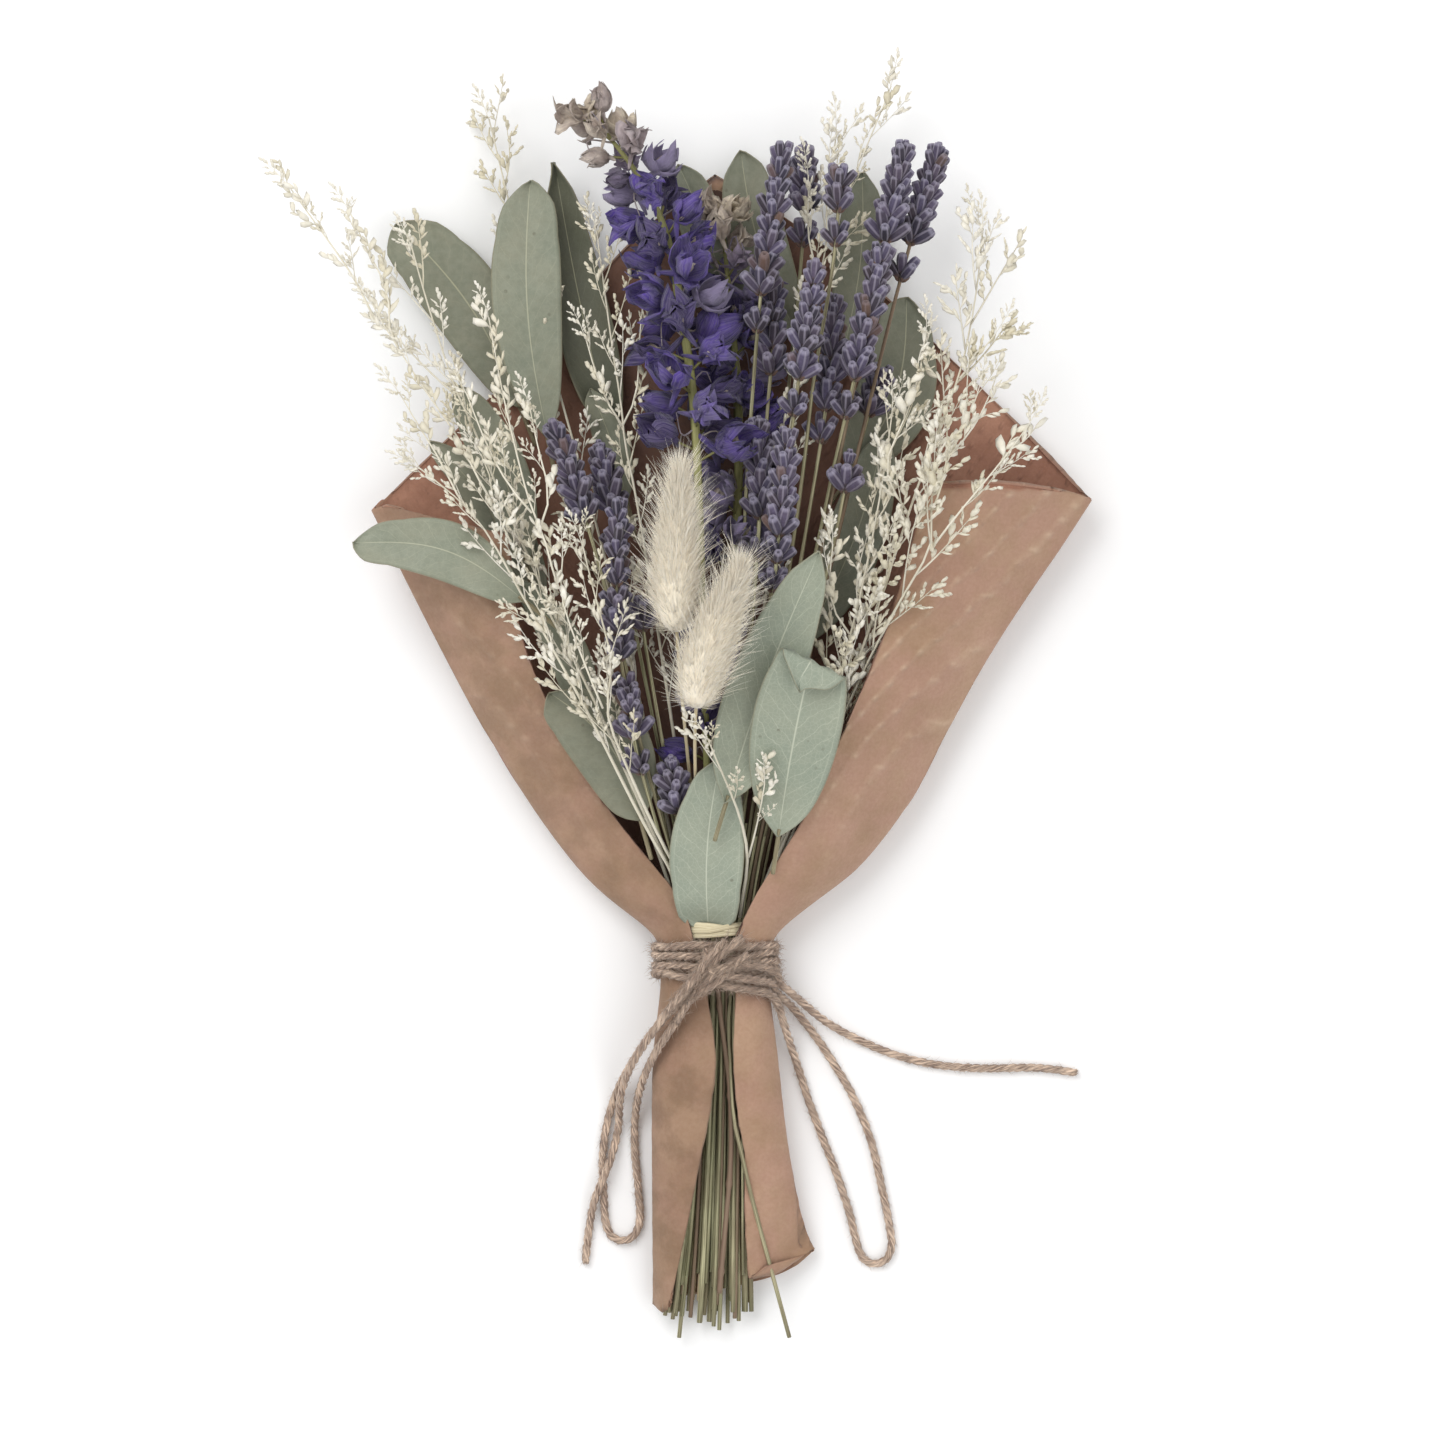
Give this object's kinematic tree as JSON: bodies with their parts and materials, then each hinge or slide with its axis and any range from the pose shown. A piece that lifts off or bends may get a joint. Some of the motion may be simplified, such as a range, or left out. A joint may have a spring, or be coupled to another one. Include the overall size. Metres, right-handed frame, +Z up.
{
  "type": "dried lavender posy",
  "caption": "Dried posy of lavender, larkspur, bleached statice, bunny tail grass and eucalyptus leaves, rolled in kraft paper and tied with jute twine, lying on its back.",
  "frame": {"origin": "on the table under the middle of the bunch, measured without the free twine", "axes": "+Y up the bunch from the cut stems to the flower tips, +X to the right seen from above, +Z up from the table"},
  "size_m": [0.2186, 0.3402, 0.0635],
  "materials": {
    "lavender": "matte dried flower spikes on thin stems",
    "larkspur": "matte papery petals",
    "statice": "matte bleached sprays",
    "grass": "soft fine hair",
    "leaf": "matte waxy dried leaf",
    "kraft_paper": "matte embossed kraft",
    "raffia": "satin dry fibre",
    "twine": "rough jute"
  },
  "bodies": {
    "root": {"lavender_01": "lavender", "lavender_02": "lavender", "lavender_03": "lavender", "lavender_04": "lavender", "lavender_05": "lavender", "lavender_06": "lavender", "lavender_07": "lavender", "lavender_08": "lavender", "lavender_09": "lavender", "lavender_10": "lavender", "lavender_11": "lavender", "lavender_12": "lavender", "lavender_13": "lavender", "lavender_14": "lavender", "lavender_15": "lavender", "lavender_16": "lavender", "lavender_17": "lavender", "lavender_18": "lavender", "lavender_19": "lavender", "larkspur_tall": "larkspur", "larkspur_rear": "larkspur", "larkspur_low": "larkspur", "bunny_tail_upper": "grass", "bunny_tail_lower": "grass", "statice_far_left": "statice", "statice_left": "statice", "statice_left_front": "statice", "statice_left_low": "statice", "statice_rear_left": "statice", "statice_centre": "statice", "statice_rear_right": "statice", "statice_right": "statice", "statice_right_low": "statice", "statice_right_inner": "statice", "statice_front": "statice", "leaf_tall_left": "leaf", "leaf_broad_left": "leaf", "leaf_dark_rear": "leaf", "leaf_rear_top": "leaf", "leaf_rear_middle": "leaf", "leaf_rear_right": "leaf", "leaf_right_inner": "leaf", "leaf_rear_tip": "leaf", "leaf_side_left": "leaf", "leaf_left_upper": "leaf", "leaf_left_lower": "leaf", "leaf_left_edge": "leaf", "leaf_left_front": "leaf", "leaf_centre_rear": "leaf", "leaf_right_front": "leaf", "leaf_right_fold": "leaf", "leaf_centre_front": "leaf", "kraft_paper_wrap": "kraft_paper", "raffia_binding": "raffia", "twine_tie": "twine", "twine_knot": "twine", "twine_loop_right": "twine", "twine_tail_right": "twine", "twine_loop_left": "twine", "twine_tail_left": "twine"}
  },
  "joints": []
}
